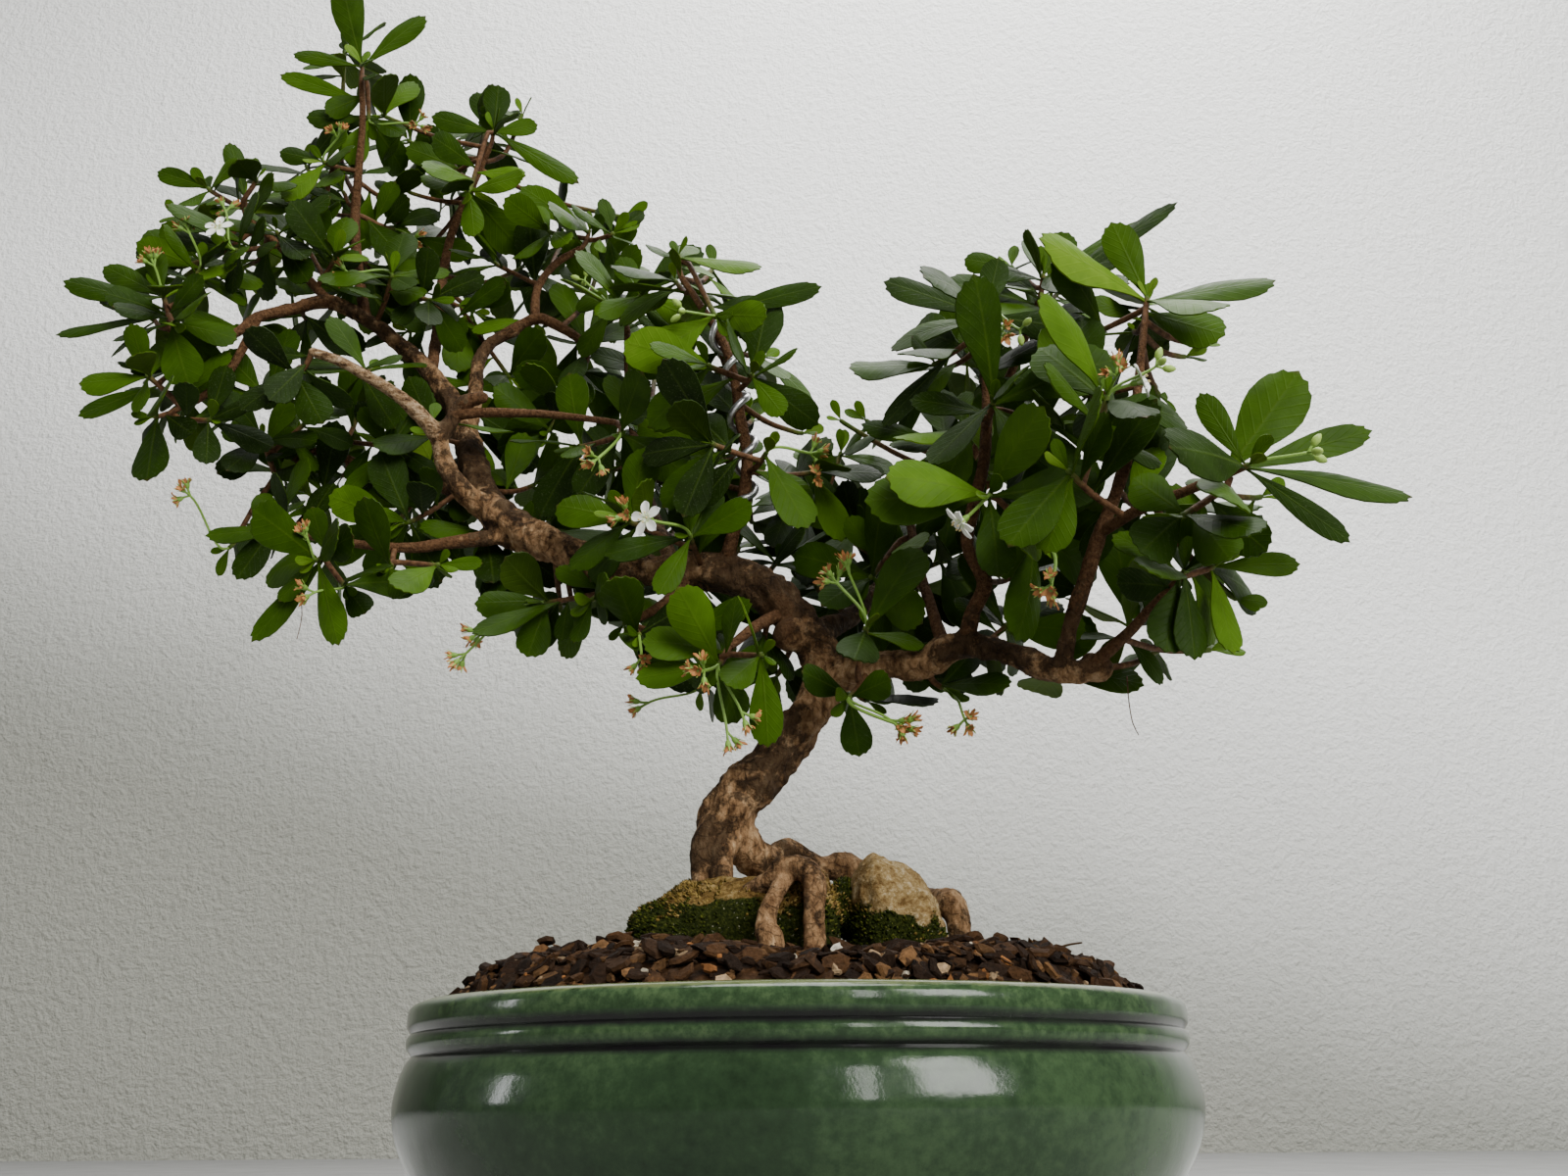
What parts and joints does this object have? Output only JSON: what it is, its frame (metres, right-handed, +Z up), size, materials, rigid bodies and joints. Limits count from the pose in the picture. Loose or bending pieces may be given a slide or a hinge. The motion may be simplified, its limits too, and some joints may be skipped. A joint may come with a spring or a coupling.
{
  "type": "fukien tea bonsai",
  "caption": "Flowering small-leaved bonsai with a slanting trunk and a long low-slung crown, its roots clasping mossy stones on mounded soil in a glazed oval pot.",
  "frame": {"origin": "centre of the pot's flat base, on the surface that it stands on", "axes": "+X to the right, towards the shorter side of the crown; +Y away from the viewer; +Z up"},
  "size_m": [0.3993, 0.2074, 0.484],
  "materials": {
    "glaze": "gloss",
    "soil": "matte",
    "stone": "matte",
    "bark": "matte",
    "leaf": "satin",
    "petal": "matte",
    "withered": "matte",
    "wire": "satin",
    "screen": "matte"
  },
  "bodies": {
    "root": {"pot": "glaze", "soil": "soil", "stone_left": "stone", "stone_right": "stone", "trunk_and_branches": "bark", "training_wire": "wire", "drain_screen_left": "screen", "drain_screen_right": "screen", "leafy_spray_01": "leaf", "leafy_spray_02": "leaf", "leafy_spray_03": "leaf", "leafy_spray_04": "leaf", "leafy_spray_05": "leaf", "leafy_spray_06": "leaf", "leafy_spray_07": "leaf", "leafy_spray_08": "leaf", "leafy_spray_09": "leaf", "leafy_spray_10": "leaf", "leafy_spray_11": "leaf", "leafy_spray_12": "leaf", "leafy_spray_13": "leaf", "leafy_spray_14": "leaf", "leafy_spray_15": "leaf", "leafy_spray_16": "leaf", "leafy_spray_17": "leaf", "leafy_spray_18": "leaf", "leafy_spray_19": "leaf", "leafy_spray_20": "leaf", "leafy_spray_21": "leaf", "leafy_spray_22": "leaf", "leafy_spray_23": "leaf", "leafy_spray_24": "leaf", "leafy_spray_25": "leaf", "leafy_spray_26": "leaf", "leafy_spray_27": "leaf", "leafy_spray_28": "leaf", "leafy_spray_29": "leaf", "leafy_spray_30": "leaf", "leafy_spray_31": "leaf", "leafy_spray_32": "leaf", "leafy_spray_33": "leaf", "leafy_spray_34": "leaf", "leafy_spray_35": "leaf", "leafy_spray_36": "leaf", "leafy_spray_37": "leaf", "leafy_spray_38": "leaf", "leafy_spray_39": "leaf", "leafy_spray_40": "leaf", "leafy_spray_41": "leaf", "leafy_spray_42": "leaf", "flower_1": "petal", "flower_2": "petal", "flower_3": "petal", "flower_4": "petal", "withered_flowers_1": "withered", "withered_flowers_2": "withered", "withered_flowers_3": "withered", "withered_flowers_4": "withered", "withered_flowers_5": "withered", "withered_flowers_6": "withered"}
  },
  "joints": []
}
